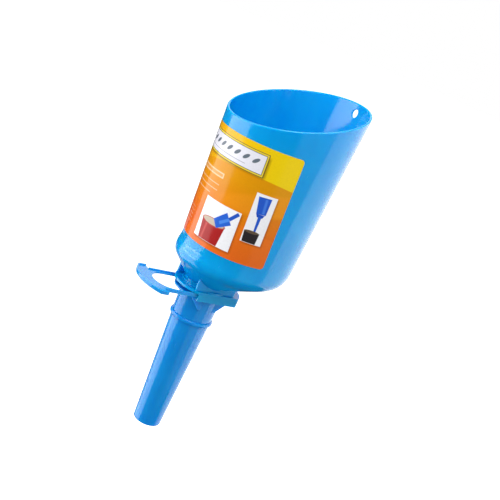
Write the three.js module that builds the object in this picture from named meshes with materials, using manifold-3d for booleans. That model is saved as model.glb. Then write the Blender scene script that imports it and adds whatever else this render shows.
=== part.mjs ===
// A handled scoop-funnel for seed, feed or pellets: an eccentric bowl over a short neck, a tapered spout
// that is also the handle, and a hand-pulled slide gate between them. Millimetres, +Z up. The origin is
// the centre of the spout's outlet, Z is the spout's axis and +X points to the long side of the mouth.
import * as THREE from 'three';
import { mergeVertices } from 'three/addons/utils/BufferGeometryUtils.js';
import Module from 'manifold-3d';

const wasm = await Module();
wasm.setup();

// Driving dimensions
const SEGMENTS = 60;                // facets around every round wall
const WALL = 2;                     // moulded wall thickness
const CLEARANCE = 0.3;              // sliding and assembly gap

const BOWL_RADIUS = 60;             // outside radius of the bowl at the middle of its mouth
const BOWL_TAPER = 0.053;           // growth of the bowl's radius per millimetre of height
const BOWL_OFFSET = 18.24;          // how far the bowl's axis stands ahead of the spout's
const BOWL_CORNER = 14;             // outside rounding between the bowl's wall and its floor
const FLOOR_SLOPE = THREE.MathUtils.degToRad(31.5);
const MOUTH_HEIGHT = 322.2;         // height of the mouth on the bowl's axis
const MOUTH_SLOPE = 0.376;          // rise of the mouth towards +X
const HANG_HOLE = { radius: 4, height: 335.7 };

const SPOUT_TIP_RADIUS = 13.25;     // outside radius of the outlet
const SPOUT_TAPER = 0.048;          // growth of the spout's radius per millimetre of height
const TIP_CHAMFER = 0.6;
const RING = { height: 112.85, radius: 20.43, halfWidth: 2.1 };

const THROAT_RADIUS = 16;           // the opening that the gate closes
const SEAT_BORE_RADIUS = 16.9;      // inside radius of the spout just below the gate
const NECK_RADIUS = 19.5;
const NECK_TOP = 149.3;             // where the neck meets the bowl's sloping floor
const NECK_FOOT = { radius: 22, height: 1.2 };
const OFFSET_RISE = 36;             // height over which the bowl's axis moves out to its offset
const OFFSET_EASE = 1.15;           // above 1 the axis moves out more slowly at first

const HOUSING = { top: 146, underside: 143.9, halfWidth: 22.2, wall: 1.7 };
const HOUSING_FRONT_RADIUS = 28.6;   // round front of the housing's top plate, about the spout's axis
const HOUSING_BACK = { x: 4, radius: 30.6 };
const SKIRT = { bottom: 137.5, front: -16.5 };
const SEAT = { top: 139.9, bottom: 138.1, frontRadius: 26.5 };
const WEB = 1.8;                    // thickness of the bracing webs
const CHEEK = { y: 19.2, halfLength: 20.5, top: 158.5 };
const STRUT = { y: 17.4, outer: 19.5, toe: 9, root: 6.5, depth: 11 };

const GATE_TRAVEL = 34;             // how far the gate pulls out along -X
const GATE_LIP = 1.6;               // width of the raised lip around the gate
const GATE_PLATE = { bottom: 141, top: 142.5 };
const GRIP = { x: -23, radius: 43, halfWidth: 27, neckX: -49 };
const WINDOW = { x: -36.5, frontX: -18, corner: 3 };
const RUNNER_END = 24;              // far end of the gate's two runners, with the gate closed

const LABEL = { thickness: 0.4, gap: 0.2, halfLength: 76.8, halfHeight: 51, height: 237.9 };

const bluePlastic = new THREE.MeshStandardMaterial({ color: 0x1788d8, roughness: 0.22, metalness: 0 });
const gatePlastic = new THREE.MeshStandardMaterial({ color: 0x2a8fd8, roughness: 0.25, metalness: 0 });
const labelFilm = new THREE.MeshStandardMaterial({ color: 0xe8a020, roughness: 0.35, metalness: 0 });

// Solids

/** Turns a closed three.js geometry into a manifold solid. */
function solid(geometry) {
  geometry.deleteAttribute('normal');
  geometry.deleteAttribute('uv');
  const merged = mergeVertices(geometry, 1e-4);
  const corners = [];
  for (let i = 0; i < merged.index.count; i += 3) {
    const [a, b, c] = [0, 1, 2].map((k) => merged.index.getX(i + k));
    if (a !== b && b !== c && c !== a) corners.push(a, b, c);
  }
  return new wasm.Manifold(new wasm.Mesh({
    numProp: 3,
    vertProperties: new Float32Array(merged.attributes.position.array),
    triVerts: new Uint32Array(corners),
  }));
}

/** Turns a manifold solid back into a named mesh. */
function namedMesh(name, body, material) {
  const { vertProperties, triVerts } = body.getMesh();
  const geometry = new THREE.BufferGeometry();
  geometry.setAttribute('position', new THREE.BufferAttribute(new Float32Array(vertProperties), 3));
  geometry.setIndex(new THREE.BufferAttribute(new Uint32Array(triVerts), 1));
  geometry.computeVertexNormals();
  const mesh = new THREE.Mesh(geometry, material);
  mesh.name = name;
  return mesh;
}

/** A solid of revolution about Z from a closed profile of (radius, height) points. */
function turned(profile) {
  return new THREE.LatheGeometry(profile, SEGMENTS).rotateX(Math.PI / 2);
}

/** A flat outline in X and Y, raised from one height to another. */
function slab(shape, bottom, top) {
  const options = { depth: top - bottom, bevelEnabled: false, curveSegments: 20 };
  return solid(new THREE.ExtrudeGeometry(shape, options).translate(0, 0, bottom));
}

/** A box between two corners. */
function block(x0, x1, y0, y1, z0, z1) {
  const geometry = new THREE.BoxGeometry(x1 - x0, y1 - y0, z1 - z0);
  return solid(geometry.translate((x0 + x1) / 2, (y0 + y1) / 2, (z0 + z1) / 2));
}

/** A plate parallel to the XZ plane, from an outline of [x, z] points. */
function uprightPlate(points, y, thickness) {
  const shape = new THREE.Shape(points.map(([x, z]) => new THREE.Vector2(x, z)));
  const geometry = new THREE.ExtrudeGeometry(shape, { depth: thickness, bevelEnabled: false });
  return solid(geometry.rotateX(Math.PI / 2).translate(0, y + thickness / 2, 0));
}

/** A round disc about Z between two heights, to add or to cut away. */
function disc(radius, bottom, top) {
  const points = [[0, bottom], [radius, bottom], [radius, top], [0, top]];
  return solid(turned(points.map(([r, z]) => new THREE.Vector2(r, z))));
}

// Bowl

/** How far the bowl's cross-section has moved out along +X at a height. */
function centreAt(height) {
  const rise = THREE.MathUtils.clamp((height - NECK_TOP) / OFFSET_RISE, 0, 1);
  return BOWL_OFFSET * Math.sin((Math.PI / 2) * rise) ** OFFSET_EASE;
}

const spoutRadius = (height) => SPOUT_TIP_RADIUS + SPOUT_TAPER * height;
const bowlRadius = (height) => BOWL_RADIUS + BOWL_TAPER * (height - MOUTH_HEIGHT);

/** Half section of the bowl and neck, moved in by an inset: 0 is the outside, WALL is the inside. */
function bowlProfile(inset, neckRadius, bottom, top) {
  const floorNormal = new THREE.Vector2(-Math.sin(FLOOR_SLOPE), Math.cos(FLOOR_SLOPE));
  const wallNormal = new THREE.Vector2(-1, BOWL_TAPER).normalize();
  const floorStart = new THREE.Vector2(NECK_RADIUS, NECK_TOP);
  const wallEnd = new THREE.Vector2(BOWL_RADIUS, MOUTH_HEIGHT);
  const centre = equidistant(floorStart, floorNormal, wallEnd, wallNormal, BOWL_CORNER);
  const radius = BOWL_CORNER - inset;
  const innerStart = floorStart.clone().addScaledVector(floorNormal, inset);
  const neckTop = innerStart.y + (neckRadius - innerStart.x) * Math.tan(FLOOR_SLOPE);
  const path = new THREE.Path();
  path.moveTo(0, bottom);
  path.lineTo(neckRadius, bottom);
  path.lineTo(neckRadius, neckTop);
  const floorEnd = centre.clone().addScaledVector(floorNormal, -radius);
  for (let step = 1; step < 6; step += 1) {
    path.lineTo(
      THREE.MathUtils.lerp(neckRadius, floorEnd.x, step / 6),
      THREE.MathUtils.lerp(neckTop, floorEnd.y, step / 6),
    );
  }
  path.absarc(centre.x, centre.y, radius, FLOOR_SLOPE - Math.PI / 2, -Math.atan(BOWL_TAPER), false);
  path.lineTo(bowlRadius(NECK_TOP + OFFSET_RISE) - inset, NECK_TOP + OFFSET_RISE);
  path.lineTo(bowlRadius(top) - inset, top);
  path.lineTo(0, top);
  return path.getPoints(5);
}

/** The point at one distance inside two lines, each given by a point and its inward normal. */
function equidistant(p, n, q, m, distance) {
  const determinant = n.x * m.y - n.y * m.x;
  const a = n.dot(p) + distance;
  const b = m.dot(q) + distance;
  return new THREE.Vector2((a * m.y - b * n.y) / determinant, (n.x * b - m.x * a) / determinant);
}

/** A turned solid whose rings follow the bowl's shifting centre line. */
function shiftedTurning(profile) {
  const geometry = turned(profile);
  const position = geometry.attributes.position;
  for (let i = 0; i < position.count; i += 1) {
    position.setX(i, position.getX(i) + centreAt(position.getZ(i)));
  }
  return solid(geometry);
}

/** Everything above the slanted mouth, as a block to cut away. */
function aboveMouth() {
  const size = 240;
  const geometry = new THREE.BoxGeometry(size, size, size);
  geometry.translate(0, 0, size / 2).rotateY(-Math.atan(MOUTH_SLOPE));
  return solid(geometry.translate(BOWL_OFFSET, 0, MOUTH_HEIGHT));
}

/** Outline of the gate housing: round front and back, straight sides, moved in by an inset. */
function housingOutline(inset, frontRadius) {
  const halfWidth = HOUSING.halfWidth - inset;
  const front = frontRadius - inset;
  const back = HOUSING_BACK.radius - inset;
  const frontAngle = Math.PI - Math.asin(halfWidth / front);
  const backAngle = Math.asin(halfWidth / back);
  const shape = new THREE.Shape();
  shape.absarc(0, 0, front, frontAngle, 2 * Math.PI - frontAngle, false);
  shape.absarc(HOUSING_BACK.x, 0, back, -backAngle, backAngle, false);
  shape.closePath();
  return shape;
}

/** Top plate of the housing and the skirt that hangs from it around three sides of the gate. */
function gateHousing() {
  const plate = slab(housingOutline(0, HOUSING_FRONT_RADIUS), HOUSING.underside, HOUSING.top);
  const outside = slab(housingOutline(0, HOUSING_FRONT_RADIUS), SKIRT.bottom, HOUSING.underside + 0.5);
  const channel = housingOutline(HOUSING.wall, HOUSING_FRONT_RADIUS + 2 * HOUSING.wall);
  const inside = slab(channel, SKIRT.bottom - 1, HOUSING.underside);
  const front = block(-60, SKIRT.front, -40, 40, SKIRT.bottom - 1, HOUSING.underside);
  return plate.add(outside.subtract(inside).subtract(front));
}

/** An upright cheek that joins the housing's top plate to the bowl's floor beside the neck. */
function cheek(side) {
  const y = side * CHEEK.y;
  const { halfLength, top } = CHEEK;
  return block(-halfLength, halfLength, y - WEB / 2, y + WEB / 2, HOUSING.top - 1, top);
}

/** The round hole near the mouth's highest point. */
function hangHole() {
  const geometry = new THREE.CylinderGeometry(HANG_HOLE.radius, HANG_HOLE.radius, 10 * WALL, 32);
  const wall = BOWL_OFFSET + bowlRadius(HANG_HOLE.height);
  return solid(geometry.rotateZ(Math.PI / 2).translate(wall, 0, HANG_HOLE.height));
}

/** Bowl, neck and gate housing, which are one moulding. */
function scoopBody() {
  const top = MOUTH_HEIGHT + 45;
  const outside = shiftedTurning(bowlProfile(0, NECK_RADIUS, HOUSING.underside + 0.5, top));
  const inside = shiftedTurning(bowlProfile(WALL, THROAT_RADIUS, HOUSING.underside - 5, top + 5));
  return outside
    .add(gateHousing())
    .add(cheek(-1))
    .add(cheek(1))
    .add(disc(NECK_FOOT.radius, HOUSING.top - 1, HOUSING.top + NECK_FOOT.height))
    .subtract(inside)
    .subtract(disc(THROAT_RADIUS, HOUSING.underside - 5, HOUSING.top + 2))
    .subtract(aboveMouth())
    .subtract(hangHole());
}

// Spout, which is also the handle

/** Half section of the spout's wall with its rounded stop ring. */
function spoutProfile() {
  const ringBottom = RING.height - RING.halfWidth;
  const ringTop = RING.height + RING.halfWidth;
  const path = new THREE.Path();
  path.moveTo(SPOUT_TIP_RADIUS - WALL, 0);
  path.lineTo(SPOUT_TIP_RADIUS - TIP_CHAMFER, 0);
  path.lineTo(spoutRadius(TIP_CHAMFER), TIP_CHAMFER);
  path.lineTo(spoutRadius(ringBottom), ringBottom);
  path.quadraticCurveTo(RING.radius, ringBottom, RING.radius, RING.height);
  path.quadraticCurveTo(RING.radius, ringTop, spoutRadius(ringTop), ringTop);
  path.lineTo(spoutRadius(SEAT.top), SEAT.top);
  path.lineTo(SEAT_BORE_RADIUS, SEAT.top);
  path.closePath();
  return path.getPoints(5);
}

/** The flange under the gate, which fits inside the housing's skirt. */
function gateSeat() {
  const inset = HOUSING.wall + CLEARANCE;
  const flange = slab(housingOutline(inset, SEAT.frontRadius + inset), SEAT.bottom, SEAT.top);
  return flange.subtract(disc(spoutRadius(SEAT.bottom) - 1, SEAT.bottom - 1, SEAT.top + 1));
}

/** One of the four struts under the seat, at the given ends of X and Y. */
function strut(endX, endY) {
  const { y, outer, toe, root, depth } = STRUT;
  const top = SEAT.bottom + 0.5;
  const foot = SEAT.bottom - depth;
  const outline = [[outer, top], [outer, SEAT.bottom], [toe, foot], [root, foot], [root, top]];
  return uprightPlate(outline.map(([x, z]) => [endX * x, z]), endY * y, WEB);
}

/** Spout tube, stop ring and seat, which are one moulding. */
function spoutHandle() {
  const tube = solid(turned(spoutProfile())).add(gateSeat());
  return [strut(-1, -1), strut(-1, 1), strut(1, -1), strut(1, 1)]
    .reduce((body, piece) => body.add(piece), tube);
}

// Slide gate

/** Outline of the gate: straight runners, a throat-round tail and a flared finger grip. */
function gateOutline(inset, tail) {
  const halfWidth = HOUSING.halfWidth - HOUSING.wall - CLEARANCE - inset;
  const gripRadius = GRIP.radius - inset;
  const hornAngle = Math.PI - Math.asin((GRIP.halfWidth - inset) / gripRadius);
  const tailRadius = THROAT_RADIUS + CLEARANCE;
  const shape = new THREE.Shape();
  shape.moveTo(tail, halfWidth);
  shape.lineTo(GRIP.neckX, halfWidth);
  shape.absarc(GRIP.x, 0, gripRadius, hornAngle, 2 * Math.PI - hornAngle, false);
  shape.lineTo(GRIP.neckX, -halfWidth);
  shape.lineTo(tail, -halfWidth);
  if (inset === 0) {
    const tailAngle = Math.acos((GATE_TRAVEL - tail) / tailRadius);
    shape.absarc(GATE_TRAVEL, 0, tailRadius, Math.PI + tailAngle, Math.PI - tailAngle, true);
  }
  shape.closePath();
  return shape;
}

/** The opening in the gate behind the finger grip. */
function gateWindow() {
  const { x, frontX, corner } = WINDOW;
  const shape = new THREE.Shape();
  shape.absarc(x, 0, THROAT_RADIUS, Math.PI / 2, (3 * Math.PI) / 2, false);
  shape.absarc(frontX - corner, -THROAT_RADIUS + corner, corner, -Math.PI / 2, 0, false);
  shape.absarc(frontX - corner, THROAT_RADIUS - corner, corner, 0, Math.PI / 2, false);
  shape.closePath();
  return shape;
}

/** The gate, which slides between the housing's top plate and the seat. */
function gateSlide() {
  const bottom = SEAT.top + CLEARANCE;
  const top = HOUSING.underside - CLEARANCE;
  const tray = slab(gateOutline(0, RUNNER_END), bottom, top);
  const insideLips = gateOutline(GATE_LIP, RUNNER_END + 1);
  const upperPocket = slab(insideLips, GATE_PLATE.top, top + 1);
  const lowerPocket = slab(insideLips, bottom - 1, GATE_PLATE.bottom);
  const opening = slab(gateWindow(), bottom - 1, top + 1);
  return tray.subtract(upperPocket).subtract(lowerPocket).subtract(opening);
}

// Label

/** A flat film rolled onto the front of the bowl's cone, so its straight edges bow a little. */
function label() {
  const { halfLength, halfHeight, thickness, gap, height } = LABEL;
  const slope = Math.atan(BOWL_TAPER);
  const lift = (gap + thickness / 2) / Math.cos(slope);
  const apexToCentre = (bowlRadius(height) + lift) / Math.sin(slope);
  const geometry = new THREE.BoxGeometry(2 * halfLength, 2 * halfHeight, thickness, 44, 2, 1);
  const position = geometry.attributes.position;
  for (let i = 0; i < position.count; i += 1) {
    const [across, up, out] = [position.getX(i), position.getY(i), position.getZ(i)];
    const fromApex = Math.hypot(across, apexToCentre + up);
    const angle = Math.PI + Math.atan2(across, apexToCentre + up) / Math.sin(slope);
    const radius = fromApex * Math.sin(slope) + out * Math.cos(slope);
    const z = height + (fromApex - apexToCentre) * Math.cos(slope) - out * Math.sin(slope);
    position.setXYZ(i, BOWL_OFFSET + radius * Math.cos(angle), radius * Math.sin(angle), z);
  }
  return solid(geometry);
}

const funnel = new THREE.Group();
funnel.add(namedMesh('scoop_body', scoopBody(), bluePlastic));
funnel.add(namedMesh('spout_handle', spoutHandle(), bluePlastic));
funnel.add(namedMesh('gate_slide', gateSlide(), gatePlastic));
funnel.add(namedMesh('label', label(), labelFilm));

export default funnel;
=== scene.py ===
"""Looks for the scoop funnel with its slide gate.

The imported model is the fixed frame. Around it this script builds the three smooth mouldings and the printed
label, gives each its finish, and sets up the studio and the camera. Lengths are in metres.
"""

import logging
import math
from contextlib import contextmanager
from dataclasses import dataclass
from enum import Enum
from typing import Callable, Iterator, Sequence

import bmesh
import bpy
from mathutils import Matrix, Vector


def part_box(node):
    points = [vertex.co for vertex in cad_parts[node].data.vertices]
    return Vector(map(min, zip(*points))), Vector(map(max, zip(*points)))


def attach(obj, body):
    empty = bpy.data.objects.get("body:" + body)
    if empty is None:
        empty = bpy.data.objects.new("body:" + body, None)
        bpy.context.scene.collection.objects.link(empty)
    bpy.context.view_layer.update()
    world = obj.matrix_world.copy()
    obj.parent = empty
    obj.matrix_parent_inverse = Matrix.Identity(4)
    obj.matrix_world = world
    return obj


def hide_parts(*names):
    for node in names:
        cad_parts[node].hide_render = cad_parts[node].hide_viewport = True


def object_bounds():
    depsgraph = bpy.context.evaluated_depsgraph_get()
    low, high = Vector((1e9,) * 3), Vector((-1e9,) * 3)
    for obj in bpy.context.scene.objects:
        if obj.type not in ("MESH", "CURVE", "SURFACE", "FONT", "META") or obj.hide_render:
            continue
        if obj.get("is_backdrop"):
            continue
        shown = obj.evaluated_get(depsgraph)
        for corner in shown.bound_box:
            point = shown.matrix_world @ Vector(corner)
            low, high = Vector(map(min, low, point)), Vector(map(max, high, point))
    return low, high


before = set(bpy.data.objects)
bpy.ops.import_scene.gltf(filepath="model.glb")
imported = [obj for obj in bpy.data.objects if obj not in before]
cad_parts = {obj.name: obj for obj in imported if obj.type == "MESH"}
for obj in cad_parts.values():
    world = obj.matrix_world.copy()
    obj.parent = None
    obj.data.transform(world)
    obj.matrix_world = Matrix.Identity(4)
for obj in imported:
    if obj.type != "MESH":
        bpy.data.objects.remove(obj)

log = logging.getLogger("scoop_funnel")

FACETS = 256            # facets around the bowl
TUBE_FACETS = 128       # facets around the spout and the round cuts
SHARP = math.radians(38)  # edges that turn more than this stay sharp or get a rounding
FLAT = math.radians(0.4)  # faces that turn less than this are one flat face
MERGE = 1e-7            # points closer than this are one point
FLUSH = 1e-5            # points nearer to a plane than this lie on it
PAST = 0.002            # how far a cutter reaches past what it cuts
OVERLAP = 0.001         # how far joined solids reach into each other
Object = bpy.types.Object
Socket = bpy.types.NodeSocket
Point = tuple[float, float]
Ink = tuple[int, int, int]
Colour = tuple[float, float, float, float]


class Body(Enum):
    """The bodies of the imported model."""

    SCOOP = "scoop"
    GATE = "gate"


class Slot(Enum):
    """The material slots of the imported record."""

    PLASTIC = "blue_plastic"
    LABEL = "label_film"


class Join(Enum):
    """How one solid acts on another."""

    UNITE = "UNION"
    CUT = "DIFFERENCE"


@dataclass(frozen=True)
class Ring:
    """One round section of a turned wall.

    Args:
        shift: Where its centre lies along X.
        radius: Its radius.
        height: Its height above the outlet.
    """

    shift: float
    radius: float
    height: float


def put_aside() -> None:
    """Deselects every object."""
    bpy.ops.object.select_all(action="DESELECT")


def take(piece: Object) -> None:
    """Makes one piece the only selected and active object."""
    put_aside()
    piece.select_set(True)
    bpy.context.view_layer.objects.active = piece


def settle(name: str) -> Object:
    """Names the primitive just added and moves its place into its mesh.

    Args:
        name: The new object's name.

    Returns:
        The object, at the origin, unturned and unscaled.
    """
    piece = bpy.context.object
    piece.name = name
    piece.data.name = name
    bpy.ops.object.transform_apply(location=True, rotation=True, scale=True)
    return piece


@contextmanager
def editing(piece: Object, kind: str = "EDGE", start: str = "SELECT") -> Iterator[None]:
    """Opens a piece in edit mode, and closes it again.

    Args:
        piece: The piece to edit.
        kind: What is selected while editing: VERT, EDGE or FACE.
        start: SELECT to start with everything selected, DESELECT to start with nothing.
    """
    take(piece)
    bpy.ops.object.mode_set(mode="EDIT")
    bpy.ops.mesh.select_mode(type=kind)
    bpy.ops.mesh.select_all(action=start)
    yield
    bpy.ops.object.mode_set(mode="OBJECT")


def modify(piece: Object, kind: str, **settings: object) -> None:
    """Gives a piece one modifier and applies it.

    Args:
        piece: The piece to modify.
        kind: Blender's name for the modifier.
        **settings: The modifier's own options.
    """
    take(piece)
    modifier = piece.modifiers.new(kind, kind)
    for key, value in settings.items():
        setattr(modifier, key, value)
    bpy.ops.object.modifier_apply(modifier=modifier.name)


def choose_edges(piece: Object, wanted: Callable[[Vector, Vector], bool]) -> None:
    """Selects, in edit mode, the edges whose two ends pass a test.

    Args:
        piece: The piece in edit mode.
        wanted: Says of an edge's two ends whether the edge is wanted.
    """
    mesh = bmesh.from_edit_mesh(piece.data)
    for edge in mesh.edges:
        edge.select_set(wanted(edge.verts[0].co, edge.verts[1].co))
    bmesh.update_edit_mesh(piece.data)


def outward(piece: Object, merge: bool = True) -> None:
    """Turns every face of a piece outwards.

    Args:
        piece: The piece to mend.
        merge: Whether doubled points are merged first.
    """
    with editing(piece):
        if merge:
            bpy.ops.mesh.remove_doubles(threshold=MERGE)
        bpy.ops.mesh.normals_make_consistent(inside=False)


def loft(name: str, rings: Sequence[Ring], facets: int, solid: bool = False) -> Object:
    """Draws a circle up through a row of rings.

    Args:
        name: The new object's name.
        rings: The sections in order. If the last repeats the first, the wall closes on itself.
        facets: How many facets each ring has.
        solid: Whether both ends are filled.

    Returns:
        The lofted object.
    """
    first = rings[0]
    put_aside()
    bpy.ops.mesh.primitive_circle_add(
        vertices=facets, radius=first.radius, fill_type="NGON" if solid else "NOTHING",
        location=(first.shift, 0, first.height))
    piece = settle(name)
    with editing(piece, "FACE" if solid else "EDGE"):
        for last, ring in zip(rings, rings[1:]):
            step = {"value": (ring.shift - last.shift, 0, ring.height - last.height)}
            if solid:
                bpy.ops.mesh.extrude_region_move(TRANSFORM_OT_translate=step)
            else:
                bpy.ops.mesh.extrude_edges_move(TRANSFORM_OT_translate=step)
            growth, centre = ring.radius / last.radius, (ring.shift, 0, ring.height)
            bpy.ops.transform.resize(value=(growth, growth, 1), center_override=centre)
    outward(piece)
    return piece


def drum(name: str, x: float, radius: float, low: float, high: float) -> Object:
    """A filled round drum about a vertical axis at a given X, between two heights."""
    return loft(name, [Ring(x, radius, low), Ring(x, radius, high)], TUBE_FACETS, solid=True)


def block(name: str, low: Sequence[float], high: Sequence[float]) -> Object:
    """A box between two corners, as a start for cutting."""
    put_aside()
    middle = [(a + b) / 2 for a, b in zip(low, high)]
    bpy.ops.mesh.primitive_cube_add(size=1, location=middle, scale=[b - a for a, b in zip(low, high)])
    return settle(name)


def trim(piece: Object, place: Sequence[float], away: Sequence[float]) -> None:
    """Cuts off the side of a solid that lies beyond a plane, and closes the cut.

    Args:
        piece: The piece to cut.
        place: A point on the plane.
        away: The direction of the side that goes.
    """
    with editing(piece):
        bpy.ops.mesh.bisect(plane_co=place, plane_no=away, use_fill=True, clear_outer=True)


def combine(piece: Object, tool: Object, how: Join) -> None:
    """Unites a piece with another solid, or cuts it by one, and clears the other away.

    Args:
        piece: The piece that stays.
        tool: The solid that is used up.
        how: Whether the tool is added or cut away.
    """
    modify(piece, "BOOLEAN", operation=how.value, solver="EXACT", object=tool)
    bpy.data.objects.remove(tool)


def soften(piece: Object, radius: float, segments: int = 3) -> None:
    """Cleans a piece's flat faces and rounds its sharp edges.

    Args:
        piece: The piece to soften.
        radius: The width of the rounding.
        segments: How many faces the rounding has.
    """
    with editing(piece):
        bpy.ops.mesh.dissolve_limited(angle_limit=FLAT)
    modify(piece, "BEVEL", width=radius, segments=segments, limit_method="ANGLE", angle_limit=SHARP)


def shade(piece: Object) -> None:
    """Turns a finished piece's faces outwards and shades it smoothly between its sharp edges."""
    outward(piece, merge=False)
    take(piece)
    bpy.ops.object.shade_smooth_by_angle(angle=SHARP)


def smooth(piece: Object) -> None:
    """Shades a moulding smoothly, with flat faces kept flat beside their rounded edges."""
    shade(piece)
    modify(piece, "WEIGHTED_NORMAL", keep_sharp=True)


def arc(centre: Point, radius: float, start: float, end: float, steps: int) -> list[Point]:
    """Points along a round stretch of a profile.

    Args:
        centre: The arc's centre.
        radius: Its radius.
        start: The angle it starts at, in radians.
        end: The angle it ends at.
        steps: How many equal steps it has.

    Returns:
        The points from start to end.
    """
    turns = [start + (end - start) * i / steps for i in range(steps + 1)]
    return [(centre[0] + radius * math.cos(t), centre[1] + radius * math.sin(t)) for t in turns]


def paint(red: float, green: float, blue: float) -> Colour:
    """A printed or moulded colour, given from 0 to 255 on a screen, as the shader needs it."""
    def bare(value: float) -> float:
        """One channel with the screen's curve taken off."""
        share = value / 255
        return share / 12.92 if share <= 0.04045 else ((share + 0.055) / 1.055) ** 2.4
    return (bare(red), bare(green), bare(blue), 1.0)


# Finishes


class Shader:
    """A material's nodes, with a short call for each kind that the finishes use."""

    def __init__(self, name: str) -> None:
        """Starts a material with one Principled surface."""
        self.material = bpy.data.materials.new(name)
        self.material.use_nodes = True
        self.tree = self.material.node_tree
        self.surface = self.tree.nodes["Principled BSDF"]

    def feed(self, socket: Socket, value: object) -> None:
        """Links a socket to another node's output, or sets it to a constant."""
        if isinstance(value, Socket):
            self.tree.links.new(value, socket)
        elif value is not None:
            socket.default_value = value

    def coat(self, inputs: dict[str, object]) -> None:
        """Feeds the surface's inputs by name."""
        for key, value in inputs.items():
            self.feed(self.surface.inputs[key], value)

    def node(self, kind: str, inputs: dict[object, object], **settings: object) -> bpy.types.Node:
        """Adds a node.

        Args:
            kind: Blender's name for the node.
            inputs: What each input is fed, by name or index.
            **settings: The node's own options.

        Returns:
            The new node.
        """
        made = self.tree.nodes.new(kind)
        for key, value in settings.items():
            setattr(made, key, value)
        for key, value in inputs.items():
            self.feed(made.inputs[key], value)
        return made

    def sum(self, operation: str, a: object, b: object = None, clamp: bool = False) -> Socket:
        """The output of a Math node."""
        inputs = {0: a} if b is None else {0: a, 1: b}
        return self.node("ShaderNodeMath", inputs, operation=operation, use_clamp=clamp).outputs[0]

    def mixed(self, a: object, a_share: float, b: object, b_share: float, operation: str = "ADD") -> object:
        """Two values, each times its share, added together or one taken from the other."""
        return self.sum(operation, self.sum("MULTIPLY", a, a_share), self.sum("MULTIPLY", b, b_share))

    def between(self, value: object, low: float, high: float,
                to_low: float = 0.0, to_high: float = 1.0) -> Socket:
        """A value carried from one range to another, held at its ends."""
        inputs = {"Value": value, "From Min": low, "From Max": high, "To Min": to_low, "To Max": to_high}
        return self.node("ShaderNodeMapRange", inputs).outputs["Result"]

    def blend(self, share: object, under: object, over: object) -> Socket:
        """One colour laid over another by a share from 0 to 1."""
        return self.node("ShaderNodeMix", {0: share, 6: under, 7: over}, data_type="RGBA").outputs[2]

    def noise(self, place: Socket, scale: float, detail: float = 2.0) -> Socket:
        """Soft noise over a place."""
        inputs = {"Vector": place, "Scale": scale, "Detail": detail}
        return self.node("ShaderNodeTexNoise", inputs).outputs["Fac"]

    def stretch(self, place: Socket, scale: Sequence[float]) -> Socket:
        """A place stretched along its axes."""
        return self.node("ShaderNodeMapping", {"Vector": place, "Scale": scale}).outputs["Vector"]

    def bump(self, height: object, strength: float, depth: float,
             under: object = None) -> Socket:
        """A surface relief, over another if one is given."""
        inputs = {"Height": height, "Strength": strength, "Distance": depth}
        if under is not None:
            inputs["Normal"] = under
        return self.node("ShaderNodeBump", inputs).outputs["Normal"]


@dataclass(frozen=True)
class BluePlastic:
    """Glossy moulded polypropylene with faint flow lines, handling marks and mottled depth.

    Args:
        name: The material's name.
        colour: The colour of the plastic.
        deep: The colour where its pigment is denser.
        flow: How strongly its flow lines stand out.
        roughness: How rough it is where nothing has rubbed it.
        bending: Its index of refraction.
        clouding: How much of its light comes from under the surface.
        cloud_depth: How deep that light goes.
        cloud_tint: How far each of its colours goes, as a share of that depth.
    """

    name: str
    colour: Colour
    deep: Colour
    flow: float
    roughness: float = 0.13
    bending: float = 1.5
    clouding: float = 0.6
    cloud_depth: float = 0.008
    cloud_tint: tuple[float, float, float] = (0.2, 0.6, 1.0)

    def make(self) -> bpy.types.Material:
        """Builds the material."""
        shader = Shader(self.name)
        place = shader.node("ShaderNodeTexCoord", {}).outputs["Object"]
        mottle = shader.noise(place, 26.0, 3.0)
        flow_lines = shader.noise(shader.stretch(place, (90.0, 90.0, 9.0)), 1.0, 3.0)
        density = shader.mixed(mottle, 0.6, flow_lines, 0.4)
        pigment = shader.between(density, 0.38, 0.62)
        mixed_colour = shader.blend(pigment, self.colour, self.deep)
        rubbed = shader.between(shader.noise(place, 60.0, 5.0), 0.5, 0.72, 0.0, 0.07)
        scratches = shader.noise(shader.stretch(place, (900.0, 900.0, 28.0)), 1.0, 2.0)
        scratched = shader.between(scratches, 0.66, 0.74, 0.0, 0.12)
        gloss = shader.sum("ADD", shader.sum("ADD", rubbed, scratched), self.roughness)
        grain = shader.bump(shader.noise(place, 1500.0, 2.0), 0.05, 0.0001)
        waves = shader.bump(flow_lines, self.flow, 0.0004, grain)
        shader.coat({
            "Base Color": mixed_colour,
            "Roughness": gloss,
            "Normal": waves,
            "IOR": self.bending,
            "Subsurface Weight": self.clouding,
            "Subsurface Radius": self.cloud_tint,
            "Subsurface Scale": self.cloud_depth,
        })
        return shader.material


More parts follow.
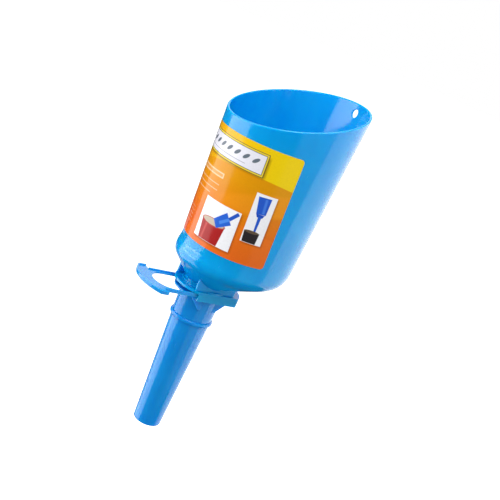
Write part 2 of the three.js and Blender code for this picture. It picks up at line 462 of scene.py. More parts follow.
class PrintedFilm:
    """The label's printed film: swooshes of yellow and orange, a plain name plate and two small pictures.

    The print is laid out flat, across and up in millimetres from the label's centre, as read from outside.
    """

    def __init__(self, half_length: float, half_height: float) -> None:
        """Starts the print on a label of the given half sizes in metres."""
        self.shader = Shader("printed_label_film")
        flat = self.shader.node("ShaderNodeUVMap", {}).outputs["UV"]
        parts = self.shader.node("ShaderNodeSeparateXYZ", {"Vector": flat}).outputs
        self.across = self.shader.between(parts["X"], 0, 1, -1000 * half_length, 1000 * half_length)
        self.up = self.shader.between(parts["Y"], 0, 1, -1000 * half_height, 1000 * half_height)
        self.colour: Socket = None

    def local(self, centre: Point, turn: float) -> tuple[Socket, Socket]:
        """Across and up, measured from a centre and turned by an angle in degrees."""
        shader = self.shader
        across = shader.sum("SUBTRACT", self.across, centre[0])
        up = shader.sum("SUBTRACT", self.up, centre[1])
        if turn == 0:
            return across, up
        cosine, sine = math.cos(math.radians(turn)), math.sin(math.radians(turn))
        along = shader.mixed(across, cosine, up, sine)
        over = shader.mixed(up, cosine, across, sine, "SUBTRACT")
        return along, over

    def panel(self, centre: Point, half: Point, turn: float = 0,
              taper: float = 0, edge: float = 0.25) -> object:
        """The share of a four-sided shape.

        Args:
            centre: Its middle.
            half: Half its width and half its height.
            turn: How far it is turned, in degrees.
            taper: How fast its half width grows upwards.
            edge: How soft its edge is.

        Returns:
            1 inside the shape and 0 outside.
        """
        shader = self.shader
        across, up = self.local(centre, turn)
        width = shader.sum("ADD", shader.sum("MULTIPLY", up, taper), half[0]) if taper else half[0]
        inside = shader.sum("SUBTRACT", width, shader.sum("ABSOLUTE", across))
        within = shader.sum("SUBTRACT", half[1], shader.sum("ABSOLUTE", up))
        sides = [shader.sum("DIVIDE", reach, edge, clamp=True) for reach in (inside, within)]
        return shader.sum("MULTIPLY", *sides)

    def oval(self, centre: Point, half: Point, turn: float = 0, edge: float = 0.25) -> object:
        """The share of an ellipse, as panel gives it."""
        shader = self.shader
        across, up = self.local(centre, turn)
        squares = [shader.sum("POWER", shader.sum("DIVIDE", shader.sum("ABSOLUTE", reach), size), 2.0)
                   for reach, size in zip((across, up), half)]
        reach = shader.sum("SQRT", shader.sum("ADD", *squares))
        depth = shader.sum("MULTIPLY", shader.sum("SUBTRACT", 1.0, reach), min(half))
        return shader.sum("DIVIDE", depth, edge, clamp=True)

    def lay(self, share: object, colour: Colour, strength: float = 1.0) -> None:
        """Prints a colour over what is there, where a shape is."""
        if strength < 1:
            share = self.shader.sum("MULTIPLY", share, strength)
        self.colour = self.shader.blend(share, self.colour, colour)

    def patch(self, centre: Point, half: Point, ink: Ink, strength: float = 1.0, **shape: float) -> None:
        """Prints a panel in one ink."""
        self.lay(self.panel(centre, half, **shape), paint(*ink), strength)

    def spot(self, centre: Point, half: Point, ink: Ink, strength: float = 1.0, **shape: float) -> None:
        """Prints an oval in one ink."""
        self.lay(self.oval(centre, half, **shape), paint(*ink), strength)

    def ground(self) -> None:
        """Prints the yellow and orange ground with its swooshes."""
        shader = self.shader
        rising = shader.between(self.up, -50, -18)
        warm = shader.blend(rising, paint(212, 82, 32), paint(220, 116, 14))
        low = shader.blend(shader.between(self.up, -22, 16), warm, paint(214, 144, 6))
        leftward = shader.between(self.across, -60, 20, 0.6, 0)
        red = shader.sum("MULTIPLY", leftward, shader.between(self.up, 10, -30))
        self.colour = shader.blend(red, low, paint(224, 84, 52))
        self.spot((44, -62), (62, 44), (236, 120, 26), 0.5, edge=1.5)
        self.spot((84, -40), (40, 38), (206, 92, 20), 0.25, edge=1.0)
        self.spot((70, 6), (60, 11), (236, 150, 30), 0.45, turn=12, edge=3.0)
        crest = shader.sum("SUBTRACT", 1.0, self.oval((36, -150), (215, 175.5), edge=0.5))
        rightward = shader.between(self.across, -40, 60)
        yellow = shader.blend(rightward, paint(222, 150, 14), paint(236, 210, 14))
        self.lay(crest, yellow, 0.85)

    def name_plate(self) -> None:
        """Prints the plain framed plate with a row of grains on it."""
        self.patch((1.5, 34.0), (50.0, 10.6), (90, 50, 10), 0.7, edge=3.0)
        self.patch((0, 35.6), (48.6, 10.2), (70, 62, 52))
        self.patch((0, 35.6), (48.0, 9.7), (226, 202, 60))
        self.patch((0, 35.6), (46.8, 8.5), (60, 60, 66))
        self.patch((0, 35.6), (46.3, 8.0), (222, 222, 232))
        for step in range(-4, 5):
            self.spot((step * 9.6, 37.0), (4.0, 1.7), (96, 108, 120), turn=38)
        self.patch((0, 31.0), (30, 0.35), (150, 156, 166))

    def captions(self) -> None:
        """Prints plain light bars where a label has its lines of words."""
        pale = paint(250, 226, 190)
        self.lay(self.panel((-12, 11.6), (27, 2.6), turn=1.5, edge=0.8), pale, 0.75)
        self.patch((-12, 11.6), (26, 1.7), (214, 136, 16), 0.8, turn=1.5, edge=0.8)
        for height, length in ((3.2, 27), (-1.6, 27), (-6.4, 23)):
            self.lay(self.panel((-14 - (27 - length), height), (length, 0.55), turn=1, edge=0.5), pale, 0.6)
        for row in range(5):
            self.lay(self.panel((-26, -26 - 3.4 * row), (17, 0.4), edge=0.4), pale, 0.45)

    def bucket_picture(self) -> None:
        """Prints the picture of a blue scoop over a red bucket."""
        self.patch((24.6, -28.4), (20.8, 19.4), (110, 50, 10), 0.6, edge=2.4)
        self.patch((23.4, -27.2), (19.6, 18.2), (236, 238, 242))
        self.patch((20.6, -36.0), (11.6, 9.2), (164, 34, 36), taper=0.13)
        self.patch((14.2, -36.0), (1.8, 9.2), (206, 84, 80), 0.7, turn=-4, edge=1.6)
        self.spot((20.6, -27.2), (13.4, 3.7), (176, 62, 58))
        self.spot((20.6, -27.0), (12.2, 2.9), (190, 176, 158))
        self.patch((28.4, -22.6), (5.0, 7.4), (34, 96, 204), turn=-52, taper=0.1)
        self.patch((30.6, -21.6), (1.8, 5.6), (84, 150, 236), 0.7, turn=-52, edge=1.0)
        self.patch((37.6, -14.6), (1.7, 5.2), (28, 84, 190), turn=-40)

    def pot_picture(self) -> None:
        """Prints the picture of a blue scoop upright over a dark pot."""
        self.patch((58.8, -10.0), (10.4, 23.4), (110, 50, 10), 0.6, edge=2.4)
        self.patch((57.8, -9.0), (9.3, 22.3), (236, 238, 242))
        self.patch((57.4, 3.4), (5.0, 7.6), (34, 88, 196), turn=4, taper=0.1)
        self.patch((59.0, 3.4), (1.6, 7.0), (70, 130, 226), 0.7, turn=4, edge=1.0)
        self.patch((57.6, -5.6), (3.2, 1.6), (30, 80, 186), taper=0.5)
        self.patch((57.8, -13.6), (1.3, 7.4), (34, 88, 196), taper=0.04)
        self.patch((56.0, -25.8), (6.4, 5.2), (40, 40, 44), taper=0.08)
        self.spot((56.0, -21.0), (6.9, 1.5), (92, 78, 64))

    def make(self) -> bpy.types.Material:
        """Prints every layer in order and gives the film its surface."""
        self.ground()
        self.name_plate()
        self.captions()
        self.bucket_picture()
        self.pot_picture()
        shader = self.shader
        place = shader.node("ShaderNodeTexCoord", {}).outputs["Object"]
        ink = shader.between(shader.noise(place, 700.0, 2.0), 0.3, 0.7, 0.0, 0.06)
        printed = shader.blend(ink, self.colour, paint(120, 60, 20))
        satin = shader.between(shader.noise(place, 45.0, 3.0), 0.3, 0.7, 0.12, 0.19)
        waves = shader.bump(shader.noise(place, 40.0, 1.0), 0.12, 0.0006)
        grain = shader.bump(shader.noise(place, 2200.0, 2.0), 0.08, 0.0001, waves)
        shader.coat({
            "Base Color": printed,
            "Roughness": satin,
            "Normal": grain,
            "IOR": 1.48,
            "Specular IOR Level": 0.3,
        })
        return shader.material


# Pieces


@dataclass
class Piece:
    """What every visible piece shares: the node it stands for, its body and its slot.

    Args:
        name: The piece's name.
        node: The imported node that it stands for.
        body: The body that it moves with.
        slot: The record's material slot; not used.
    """

    name: str
    node: str
    body: Body = Body.SCOOP
    slot: Slot = Slot.PLASTIC

    def build(self) -> Object:
        """Builds the piece's mesh."""
        raise NotImplementedError

    def dress(self, piece: Object, material: bpy.types.Material) -> None:
        """Gives the built piece its finish and puts it on its body.

        Args:
            piece: The built mesh.
            material: The finish.
        """
        piece.data.materials.clear()
        piece.data.materials.append(material)
        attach(piece, self.body.value)
        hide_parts(self.node)
        triangles = sum(len(face.vertices) - 2 for face in piece.data.polygons)
        log.info("%s stands for %s on %s: %d triangles", piece.name, self.node, self.body.value, triangles)


@dataclass
class HousingOutline:
    """The gate housing seen from above: a round front and back between two straight sides."""

    half_width: float = 0.0222
    front_radius: float = 0.0286
    back_radius: float = 0.0306
    back_centre: float = 0.004
    middle: float = 0.002

    def solid(self, name: str, inset: float, front_radius: float,
              low: float, high: float) -> Object:
        """A slab of the outline.

        Args:
            name: The new object's name.
            inset: How far the outline is moved in.
            front_radius: The front's radius before it is moved in.
            low: The slab's underside.
            high: The slab's top.

        Returns:
            The slab.
        """
        front = drum(name, 0, front_radius - inset, low, high)
        back = drum(f"{name}_back", self.back_centre, self.back_radius - inset, low, high)
        trim(front, (self.middle + OVERLAP, 0, 0), (1, 0, 0))
        trim(back, (self.middle, 0, 0), (-1, 0, 0))
        for half in (front, back):
            for side in (-1, 1):
                trim(half, (0, side * (self.half_width - inset), 0), (0, side, 0))
            outward(half)
        combine(front, back, Join.UNITE)
        return front


@dataclass
class ScoopBody(Piece):
    """Bowl, neck, gate housing and cheeks, which are one moulding."""

    name: str = "scoop_body_smooth"
    node: str = "scoop_body"
    wall: float = 0.002
    taper: float = 0.053
    offset: float = 0.01824
    corner: float = 0.014
    floor_slope: float = math.radians(31.5)
    mouth_height: float = 0.3222
    mouth_slope: float = 0.376
    rim_rounding: float = 0.0007
    hole_radius: float = 0.004
    hole_height: float = 0.3357
    neck_radius: float = 0.0195
    neck_top: float = 0.1493
    throat_radius: float = 0.016
    foot_radius: float = 0.022
    foot_height: float = 0.0012
    offset_rise: float = 0.036
    offset_ease: float = 1.15
    plate_top: float = 0.146
    plate_thickness: float = 0.0021
    skirt_wall: float = 0.0017
    skirt_front: float = -0.0165
    cheek_place: float = 0.0192
    cheek_thickness: float = 0.0018
    cheek_reach: float = 0.0205
    cheek_top: float = 0.1585
    rounding: float = 0.0004
    hole_rounding: float = 0.0004
    rim_band: float = 0.019
    spare: float = 0.03
    corner_steps: int = 16
    floor_steps: int = 14
    ease_steps: int = 12

    def __post_init__(self) -> None:
        """Reads the mouth's radius and the skirt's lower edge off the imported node."""
        low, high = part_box(self.node)
        self.mouth_radius = high.y
        self.skirt_low = low.z
        self.top = high.z
        self.mouth_normal = Vector((-self.mouth_slope, 0, 1)).normalized()
        self.mouth_place = Vector((self.offset, 0, self.mouth_height))

    def centre_at(self, height: float) -> float:
        """How far the bowl's section has moved out along X at a height."""
        rise = min(max((height - self.neck_top) / self.offset_rise, 0), 1)
        return self.offset * math.sin(math.pi / 2 * rise) ** self.offset_ease

    def radius_at(self, height: float) -> float:
        """The bowl's outside radius at a height of its wall."""
        return self.mouth_radius + self.taper * (height - self.mouth_height)

    def corner_centre(self) -> Point:
        """The centre of the rounding between the floor and the wall, in the half section."""
        floor = Vector((-math.sin(self.floor_slope), math.cos(self.floor_slope)))
        wall = Vector((-1, self.taper)).normalized()
        a = floor.dot(Vector((self.neck_radius, self.neck_top))) + self.corner
        b = wall.dot(Vector((self.mouth_radius, self.mouth_height))) + self.corner
        turn = floor.x * wall.y - floor.y * wall.x
        return (a * wall.y - b * floor.y) / turn, (floor.x * b - wall.x * a) / turn

    def rings(self, inset: float, neck: float, low: float) -> list[Ring]:
        """The sections of one side of the bowl's wall, from the neck to above the mouth.

        Args:
            inset: How far the side lies inside the outer face.
            neck: Its radius in the neck.
            low: The height it starts at.

        Returns:
            The rings from the bottom up.
        """
        slope = self.floor_slope
        start = (self.neck_radius - inset * math.sin(slope), self.neck_top + inset * math.cos(slope))
        neck_end = start[1] + (neck - start[0]) * math.tan(slope)
        round_part = arc(self.corner_centre(), self.corner - inset, slope - math.pi / 2,
                         -math.atan(self.taper), self.corner_steps)
        floor_end = round_part[0]
        steps, eases = self.floor_steps, self.ease_steps
        run, rise = floor_end[0] - neck, floor_end[1] - neck_end
        floor = [(neck + run * i / steps, neck_end + rise * i / steps) for i in range(steps)]
        straight = self.neck_top + self.offset_rise
        wall_start = round_part[-1][1]
        wall = [wall_start + (straight - wall_start) * i / eases for i in range(1, eases + 1)]
        wall.append(self.top + self.spare)
        points = [(neck, low), *floor, *round_part, *((self.radius_at(z) - inset, z) for z in wall)]
        return [Ring(self.centre_at(z), r, z) for r, z in points]

    def shell(self) -> Object:
        """The bowl and neck: one wall up the outside, over the mouth's rim and down the inside."""
        low = self.plate_top - self.plate_thickness
        outer = self.rings(0, self.neck_radius, low)
        inner = self.rings(self.wall, self.throat_radius, low)
        shell = loft(self.name, [*outer, *reversed(inner), outer[0]], FACETS)
        self.slant_mouth(shell)
        with editing(shell):
            band = self.mouth_place - self.mouth_normal * self.rim_band
            bpy.ops.mesh.bisect(plane_co=band, plane_no=self.mouth_normal)
        with editing(shell, start="DESELECT"):
            choose_edges(shell, self.is_rim)
            bpy.ops.mesh.bevel(offset=self.rim_rounding, segments=4, affect="EDGES")
        return shell

    def slant_mouth(self, shell: Object) -> None:
        """Slides the top of every upright line of the wall along it, onto the mouth's slanted plane."""
        straight = self.neck_top + self.offset_rise
        for vertex in shell.data.vertices:
            x, y, z = vertex.co
            if z < straight + 5 * PAST:
                continue
            reach = math.hypot(x - self.offset, y)
            cosine, sine = (x - self.offset) / reach, y / reach
            level = reach - self.taper * (z - self.mouth_height)
            rise = self.mouth_slope * cosine * level / (1 - self.mouth_slope * self.taper * cosine)
            radius = level + self.taper * rise
            vertex.co = (self.offset + radius * cosine, radius * sine, self.mouth_height + rise)

    def on_mouth(self, place: Vector) -> bool:
        """Whether a point lies on the plane of the mouth."""
        return abs((place - self.mouth_place).dot(self.mouth_normal)) < FLUSH

    def is_rim(self, a: Vector, b: Vector) -> bool:
        """Whether an edge runs along the mouth's inner or outer edge, and not across the rim."""
        return self.on_mouth(a) and self.on_mouth(b) and (a - b).length < 0.8 * self.wall

    def middle_of_wall(self) -> Object:
        """A solid that fills the bowl up to the middle of its wall, to trim what is joined to it."""
        neck = (self.neck_radius + self.throat_radius) / 2
        low = self.skirt_low - 5 * PAST
        return loft("wall_middle", self.rings(self.wall / 2, neck, low), FACETS, solid=True)

    def housing(self) -> Object:
        """The housing's top plate, with its skirt around three sides of the gate."""
        outline = HousingOutline()
        under = self.plate_top - self.plate_thickness
        housing = outline.solid("gate_housing", 0, outline.front_radius, self.skirt_low, self.plate_top)
        wide_front = outline.front_radius + 3 * self.skirt_wall
        channel = outline.solid("channel", self.skirt_wall, wide_front, self.skirt_low - PAST, under)
        combine(housing, channel, Join.CUT)
        far, wide = 2 * outline.front_radius, 2 * outline.half_width
        start = (-far, -wide, self.skirt_low - PAST)
        front = block("front_opening", start, (self.skirt_front, wide, under))
        combine(housing, front, Join.CUT)
        soften(housing, self.rounding)
        return housing

    def cheek(self, side: int) -> Object:
        """An upright cheek between the housing's plate and the bowl's floor, on one side of the neck."""
        y = side * self.cheek_place
        half = self.cheek_thickness / 2
        cheek = block("cheek", (-self.cheek_reach, y - half, self.plate_top - OVERLAP),
                      (self.cheek_reach, y + half, self.cheek_top))
        soften(cheek, self.rounding / 2, 2)
        return cheek

    def hang_hole(self) -> Object:
        """A round cutter through the wall near the mouth's highest point."""
        wall = self.centre_at(self.hole_height) + self.radius_at(self.hole_height)
        put_aside()
        bpy.ops.mesh.primitive_cylinder_add(
            vertices=64, radius=self.hole_radius, depth=10 * self.wall,
            location=(wall, 0, self.hole_height), rotation=(0, math.pi / 2, 0))
        return settle("hang_hole")

    def near_hole(self, a: Vector, b: Vector) -> bool:
        """Whether an edge lies on the hang hole's inner or outer edge."""
        wall = self.centre_at(self.hole_height) + self.radius_at(self.hole_height)
        middle = Vector((wall - self.wall / 2, 0, self.hole_height))
        ends = [Vector((0, p.y, p.z - self.hole_height)).length for p in (a, b)]
        round_it = all(abs(reach - self.hole_radius) < 2 * FLUSH for reach in ends)
        return round_it and a.x > middle.x - self.wall and (a - b).length < self.hole_radius / 4

    def build(self) -> Object:
        """Builds the moulding from its shell, housing, cheeks and foot."""
        shell = self.shell()
        plate = self.plate_top
        foot = drum("neck_foot", 0, self.foot_radius, plate - OVERLAP, plate + self.foot_height)
        soften(foot, self.rounding)
        added = self.housing()
        for part in (foot, self.cheek(-1), self.cheek(1)):
            combine(added, part, Join.UNITE)
        combine(added, self.middle_of_wall(), Join.CUT)
        combine(shell, added, Join.UNITE)
        combine(shell, self.hang_hole(), Join.CUT)
        with editing(shell, start="DESELECT"):
            choose_edges(shell, self.near_hole)
            bpy.ops.mesh.bevel(offset=self.hole_rounding, segments=3, affect="EDGES")
        smooth(shell)
        return shell


@dataclass
class SpoutHandle(Piece):
    """The tapered tube with its stop ring, seat flange and struts, which are one moulding."""

    name: str = "spout_handle_smooth"
    node: str = "spout_handle"
    tip_radius: float = 0.01325
    taper: float = 0.048
    wall: float = 0.002
    tip_rounding: float = 0.0006
    bore_top: float = 0.0169
    ring_height: float = 0.11285
    ring_half: float = 0.0021
    seat_thickness: float = 0.0018
    seat_inset: float = 0.002
    seat_front: float = 0.0265
    strut_place: float = 0.0174
    strut_thickness: float = 0.0018
    strut_outer: float = 0.0195
    strut_toe: float = 0.009
    strut_root: float = 0.0065
    strut_depth: float = 0.011
    rounding: float = 0.0003
    fillet: float = 0.0009
    top_rounding: float = 0.0004
    core_depth: float = 0.02

    def __post_init__(self) -> None:
        """Reads the seat's height and the ring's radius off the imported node."""
        _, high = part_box(self.node)
        self.seat_top = high.z
        self.ring_radius = high.y

    def radius_at(self, height: float) -> float:
        """The tube's outside radius at a height."""
        return self.tip_radius + self.taper * height

    def tube(self) -> Object:
        """The tube's wall, turned in one closed loop: outside with its ring, and inside."""
        tip, inner = self.tip_rounding, self.tip_radius - self.wall
        outer_tip = arc((self.tip_radius - tip, tip), tip, -math.pi / 2, 0, 4)
        inner_tip = arc((inner + tip, tip), tip, math.pi, 3 * math.pi / 2, 4)
        foot = self.radius_at(self.ring_height)
        swell = [math.pi * i / 16 for i in range(17)]
        rises = [-self.ring_half * math.cos(t) for t in swell]
        ring = [(foot + (self.ring_radius - foot) * math.sin(t) ** 0.7 + self.taper * z,
                 self.ring_height + z) for t, z in zip(swell, rises)]
        fillet = self.fillet
        below = (self.radius_at(self.ring_height - self.ring_half - fillet), ring[0][1] - fillet)
        above = (self.radius_at(self.ring_height + self.ring_half + fillet), ring[-1][1] + fillet)
        top_radius = self.radius_at(self.seat_top) - self.top_rounding
        top = [(top_radius, self.seat_top), (self.bore_top, self.seat_top)]
        outline = [*outer_tip, below, *ring, above, *top, *inner_tip]
        rings = [Ring(0, r, z) for r, z in outline]
        return loft(self.name, [*rings, rings[0]], TUBE_FACETS)

    def seat(self) -> Object:
        """The flange under the gate, with a hole for the tube's bore."""
        outline = HousingOutline()
        low = self.seat_top - self.seat_thickness
        seat = outline.solid("seat", self.seat_inset, self.seat_front + self.seat_inset, low, self.seat_top)
        hole = (self.radius_at(low) + self.bore_top) / 2
        combine(seat, drum("seat_hole", 0, hole, low - PAST, self.seat_top + PAST), Join.CUT)
        soften(seat, self.rounding)
        return seat

    def strut(self, end: int, side: int) -> Object:
        """A sloping strut under the seat, at one end of X and one side of Y."""
        y = side * self.strut_place
        half = self.strut_thickness / 2
        low = self.seat_top - self.seat_thickness
        corners = sorted((end * self.strut_root, end * self.strut_outer))
        high = low + self.seat_thickness / 3
        strut = block("strut", (corners[0], y - half, low - self.strut_depth), (corners[1], y + half, high))
        away = Vector((end * self.strut_depth, 0, -(self.strut_outer - self.strut_toe))).normalized()
        trim(strut, (end * self.strut_outer, 0, low), away)
        outward(strut)
        soften(strut, self.rounding * 0.8, 2)
        return strut

    def build(self) -> Object:
        """Builds the moulding from its tube, seat and struts."""
        handle = self.tube()
        added = self.seat()
        for end in (-1, 1):
            for side in (-1, 1):
                combine(added, self.strut(end, side), Join.UNITE)
        low = self.seat_top - self.core_depth
        core = loft("tube_middle", [Ring(0, self.radius_at(z) - self.wall / 2, z)
                                    for z in (low, self.seat_top + 0.01)], TUBE_FACETS, solid=True)
        combine(added, core, Join.CUT)
        combine(handle, added, Join.UNITE)
        smooth(handle)
        return handle


@dataclass
class GateSlide(Piece):
    """The slide gate: a thin plate in a raised lip, with two runners and an arched finger grip."""

    name: str = "gate_slide_smooth"
    node: str = "gate_slide"
    body: Body = Body.GATE
    half_width: float = 0.0202
    lip: float = 0.0016
    plate_low: float = 0.141
    plate_high: float = 0.1425
    grip_centre: float = -0.023
    neck: float = -0.049
    throat_radius: float = 0.016
    tail_centre: float = 0.034
    tail_radius: float = 0.0163
    window_centre: float = -0.0365
    window_front: float = -0.018
    window_corner: float = 0.003
    rounding: float = 0.00035

    def __post_init__(self) -> None:
        """Reads the gate's ends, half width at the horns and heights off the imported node."""
        low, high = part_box(self.node)
        self.low, self.high = low.z, high.z
        self.runner_end = high.x
        self.horn = high.y
        self.grip_radius = self.grip_centre - low.x

    def outline(self, name: str, inset: float, tail: float, low: float, high: float) -> Object:
        """A slab of the gate's outline.

        Args:
            name: The new object's name.
            inset: How far the outline is moved in.
            tail: How far the runners reach along X.
            low: The slab's underside.
            high: The slab's top.

        Returns:
            The slab.
        """
        half = self.half_width - inset
        slab = block(name, (self.neck - PAST, -half, low), (tail, half, high))
        grip = drum(f"{name}_grip", self.grip_centre, self.grip_radius - inset, low, high)
        trim(grip, (self.neck, 0, 0), (1, 0, 0))
        for side in (-1, 1):
            trim(grip, (0, side * (self.horn - inset), 0), (0, side, 0))
        outward(grip)
        combine(slab, grip, Join.UNITE)
        return slab

    def is_back_corner(self, a: Vector, b: Vector) -> bool:
        """Whether an edge is one of the upright ones behind the window's centre."""
        behind = min(a.x, b.x) > self.window_centre + OVERLAP
        return behind and abs(a.z - b.z) > OVERLAP

    def window(self) -> Object:
        """A cutter for the opening behind the grip: round towards the grip, with rounded corners behind."""
        low, high = self.low - PAST, self.high + PAST
        radius = self.throat_radius
        window = drum("window", self.window_centre, radius, low, high)
        back = block("window_back", (self.window_centre, -radius, low), (self.window_front, radius, high))
        with editing(back, start="DESELECT"):
            choose_edges(back, self.is_back_corner)
            bpy.ops.mesh.bevel(offset=self.window_corner, segments=10, affect="EDGES")
        combine(window, back, Join.UNITE)
        return window

    def build(self) -> Object:
        """Builds the gate as a slab with a pocket above and below, a round tail and the window."""
        gate = self.outline(self.name, 0, self.runner_end, self.low, self.high)
        pockets = ((self.plate_high, self.high + PAST), (self.low - PAST, self.plate_low))
        for low, high in pockets:
            combine(gate, self.outline("pocket", self.lip, self.runner_end + PAST, low, high), Join.CUT)
        tail = drum("tail_round", self.tail_centre, self.tail_radius, self.low - PAST, self.high + PAST)
        combine(gate, tail, Join.CUT)
        combine(gate, self.window(), Join.CUT)
        soften(gate, self.rounding)
        smooth(gate)
        return gate


@dataclass
class Label(Piece):
    """The printed film around the front of the bowl, with rounded corners."""

    name: str = "label_print"
    node: str = "label"
    slot: Slot = Slot.LABEL
    half_length: float = 0.0768
    half_height: float = 0.051
    height: float = 0.2379
    corner: float = 0.003
    thickness: float = 0.00016
    gap: float = 0.00004
    strips: int = 128

    def flat_film(self) -> Object:
        """The film laid flat, cut into upright strips, with its print coordinates."""
        put_aside()
        bpy.ops.mesh.primitive_plane_add(size=1)
        film = settle(self.name)
        with editing(film, "VERT"):
            bpy.ops.transform.resize(value=(2 * self.half_length, 2 * self.half_height, 1),
                                     center_override=(0, 0, 0))
            bpy.ops.mesh.bevel(offset=self.corner, segments=8, affect="VERTICES")
            for strip in range(1, self.strips):
                place = self.half_length * (2 * strip / self.strips - 1)
                bpy.ops.mesh.select_all(action="SELECT")
                bpy.ops.mesh.bisect(plane_co=(place, 0, 0), plane_no=(1, 0, 0))
        prints = film.data.uv_layers[0]
        for loop in film.data.loops:
            place = film.data.vertices[loop.vertex_index].co
            prints.data[loop.index].uv = (place.x / (2 * self.half_length) + 0.5,
                                          place.y / (2 * self.half_height) + 0.5)
        modify(film, "SOLIDIFY", thickness=self.thickness, offset=1.0)
        return film

    def roll(self, film: Object, bowl: ScoopBody) -> None:
        """Rolls the flat film onto the bowl's cone without stretching it.

        Args:
            film: The flat film, its outer face up.
            bowl: The bowl that it goes round.
        """
        slope = math.atan(bowl.taper)
        reach = bowl.radius_at(self.height) / math.sin(slope)
        for vertex in film.data.vertices:
            across, up, out = vertex.co
            out += self.gap
            from_apex = math.hypot(across, reach + up)
            angle = math.pi + math.atan2(across, reach + up) / math.sin(slope)
            radius = from_apex * math.sin(slope) + out * math.cos(slope)
            height = self.height + (from_apex - reach) * math.cos(slope) - out * math.sin(slope)
            vertex.co = (bowl.offset + radius * math.cos(angle), radius * math.sin(angle), height)

    def build(self) -> Object:
        """Builds the label on the bowl."""
        film = self.flat_film()
        self.roll(film, ScoopBody())
        shade(film)
        return film


# Studio


@dataclass
class Camera:
    """The camera, turned about its own line of sight so that the object leans."""

    place: tuple[float, float, float] = (-0.4391, -0.6202, 0.3968)
    sight: tuple[float, float, float] = (0.5835, 0.7693, -0.2601)
    roll: float = math.radians(23.907)
    lens: float = 63.5

    @property
    def azimuth(self) -> float:
        """The direction from the object to the camera, in radians about Z."""
        return math.atan2(-self.sight[1], -self.sight[0])

    def build(self) -> None:
        """Places the camera and makes it the scene's."""
        forward = Vector(self.sight).normalized()
        level = forward.cross(Vector((0, 0, 1))).normalized()
        upright = level.cross(forward)
        right = level * math.cos(self.roll) + upright * math.sin(self.roll)
        up = upright * math.cos(self.roll) - level * math.sin(self.roll)
        put_aside()
        bpy.ops.object.camera_add()
        camera = bpy.context.object
        turn = Matrix((right, up, -forward)).transposed().to_4x4()
        camera.matrix_world = Matrix.Translation(self.place) @ turn
        camera.data.lens = self.lens
        bpy.context.scene.camera = camera


@dataclass(frozen=True)
class Softbox:
    """An upright or tilted soft light, aimed at the bowl.

    Args:
        name: The light's name.
        bearing: Its direction from the bowl, in degrees to the right of the camera.
        elevation: Its direction above the horizon, in degrees.
        distance: How far away it stands.
        width: Its width.
        height: Its height.
        brightness: How bright its face is, where 1 is a white sheet in the room's light.
    """

    name: str
    bearing: float
    elevation: float
    distance: float
    width: float
    height: float
    brightness: float

    def build(self, camera: Camera, target: Vector) -> None:
        """Stands the light in its place.

        Args:
            camera: The camera that bearings are taken from.
            target: The point that the light faces.
        """
        azimuth = camera.azimuth + math.radians(self.bearing)
        lift = math.radians(self.elevation)
        level = math.cos(lift)
        away = Vector((math.cos(azimuth) * level, math.sin(azimuth) * level, math.sin(lift)))
        put_aside()
        bpy.ops.object.light_add(type="AREA", location=target + away * self.distance)
        light = bpy.context.object
        light.name = self.name
        light.rotation_mode = "QUATERNION"
        light.rotation_quaternion = away.to_track_quat("Z", "Y")
        light.data.shape = "RECTANGLE"
        light.data.size = self.width
        light.data.size_y = self.height
        light.data.energy = 4 * self.brightness * self.width * self.height
        light.visible_camera = False


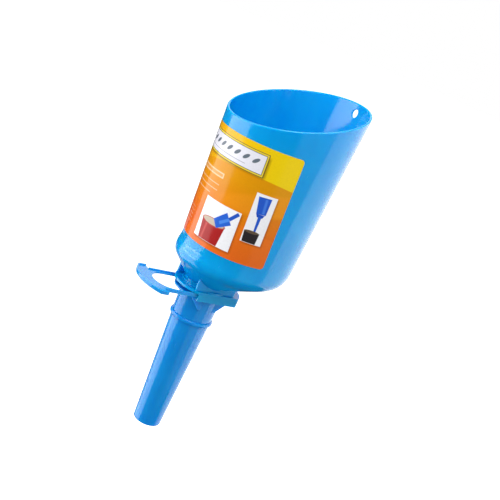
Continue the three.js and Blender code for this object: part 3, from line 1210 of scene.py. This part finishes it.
@dataclass
class Studio:
    """A plain pale room: a floor below the object, an even sky and the soft lights."""

    floor_drop: float = 0.45
    floor_size: float = 60.0
    sky: float = 0.44
    sheen: float = 0.03

    def floor(self) -> None:
        """Lays the pale floor."""
        low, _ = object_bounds()
        put_aside()
        bpy.ops.mesh.primitive_plane_add(size=self.floor_size, location=(0, 0, low.z - self.floor_drop))
        floor = settle("studio_floor")
        shader = Shader("pale_floor")
        shader.coat({
            "Base Color": (0.95, 0.95, 0.95, 1),
            "Roughness": 0.9,
            "Specular IOR Level": 0.0,
            "Emission Color": (1, 1, 1, 1),
            "Emission Strength": 0.9,
        })
        floor.data.materials.append(shader.material)
        floor.visible_glossy = False
        floor.visible_diffuse = False
        floor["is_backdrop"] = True

    def room(self) -> None:
        """Lights the room evenly: white to the eye, and dim in what shines back off the plastic."""
        world = bpy.data.worlds.new("pale_room")
        bpy.context.scene.world = world
        world.use_nodes = True
        nodes, links = world.node_tree.nodes, world.node_tree.links
        air = nodes["Background"]
        air.inputs["Color"].default_value = (1, 1, 1, 1)
        path = nodes.new("ShaderNodeLightPath")
        total = None
        shares = {"Is Camera Ray": 1.0, "Is Diffuse Ray": self.sky, "Is Glossy Ray": self.sheen}
        for ray, share in shares.items():
            part = nodes.new("ShaderNodeMath")
            part.operation = "MULTIPLY_ADD"
            links.new(path.outputs[ray], part.inputs[0])
            part.inputs[1].default_value = share
            part.inputs[2].default_value = 0.0
            if total is not None:
                links.new(total, part.inputs[2])
            total = part.outputs[0]
        links.new(total, air.inputs["Strength"])

    def build(self, camera: Camera) -> None:
        """Sets up the room, the floor and the lights.

        Args:
            camera: The camera that the lights are placed from.
        """
        bpy.context.scene.view_settings.view_transform = "Standard"
        self.room()
        self.floor()
        low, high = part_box("scoop_body")
        target = Vector(((low.x + high.x) / 2, 0, low.z + 0.55 * (high.z - low.z)))
        softboxes = (
            Softbox("left_strip", -90, -26, 1.25, 1.20, 1.10, 2.0),
            Softbox("back_left_softbox", -82, 10, 1.2, 1.0, 0.75, 2.5),
            Softbox("low_back_softbox", -158, -38, 1.0, 0.7, 0.7, 0.5),
            Softbox("right_dim_softbox", 52, -16, 1.2, 1.28, 1.0, 0.30),
            Softbox("right_softbox", 122, -12, 1.2, 2.16, 1.5, 1.2),
            Softbox("back_softbox", 180, 16, 1.6, 1.2, 1.0, 0.85),
            Softbox("top_softbox", 30, 72, 1.3, 1.4, 1.4, 2.4),
            Softbox("front_softbox", -8, 42, 1.5, 1.0, 1.0, 2.0),
        )
        for softbox in softboxes:
            softbox.build(camera, target)


def main() -> None:
    """Builds the studio and every piece."""
    logging.basicConfig(level=logging.INFO, format="%(name)s: %(message)s")
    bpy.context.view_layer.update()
    camera = Camera()
    camera.build()
    Studio().build(camera)
    plastic = BluePlastic("moulded_blue_plastic", paint(3, 157, 220), paint(1, 150, 213), 0.02).make()
    gate_plastic = BluePlastic("gate_blue_plastic", paint(34, 148, 216), paint(28, 141, 209), 0.03).make()
    spout_plastic = BluePlastic("spout_blue_plastic", paint(20, 144, 224), paint(14, 137, 217), 0.02).make()
    label = Label()
    film = PrintedFilm(label.half_length, label.half_height).make()
    pieces = (
        (ScoopBody(), plastic),
        (SpoutHandle(), spout_plastic),
        (GateSlide(), gate_plastic),
        (label, film),
    )
    for piece, material in pieces:
        piece.dress(piece.build(), material)


if __name__ == "__main__":
    main()
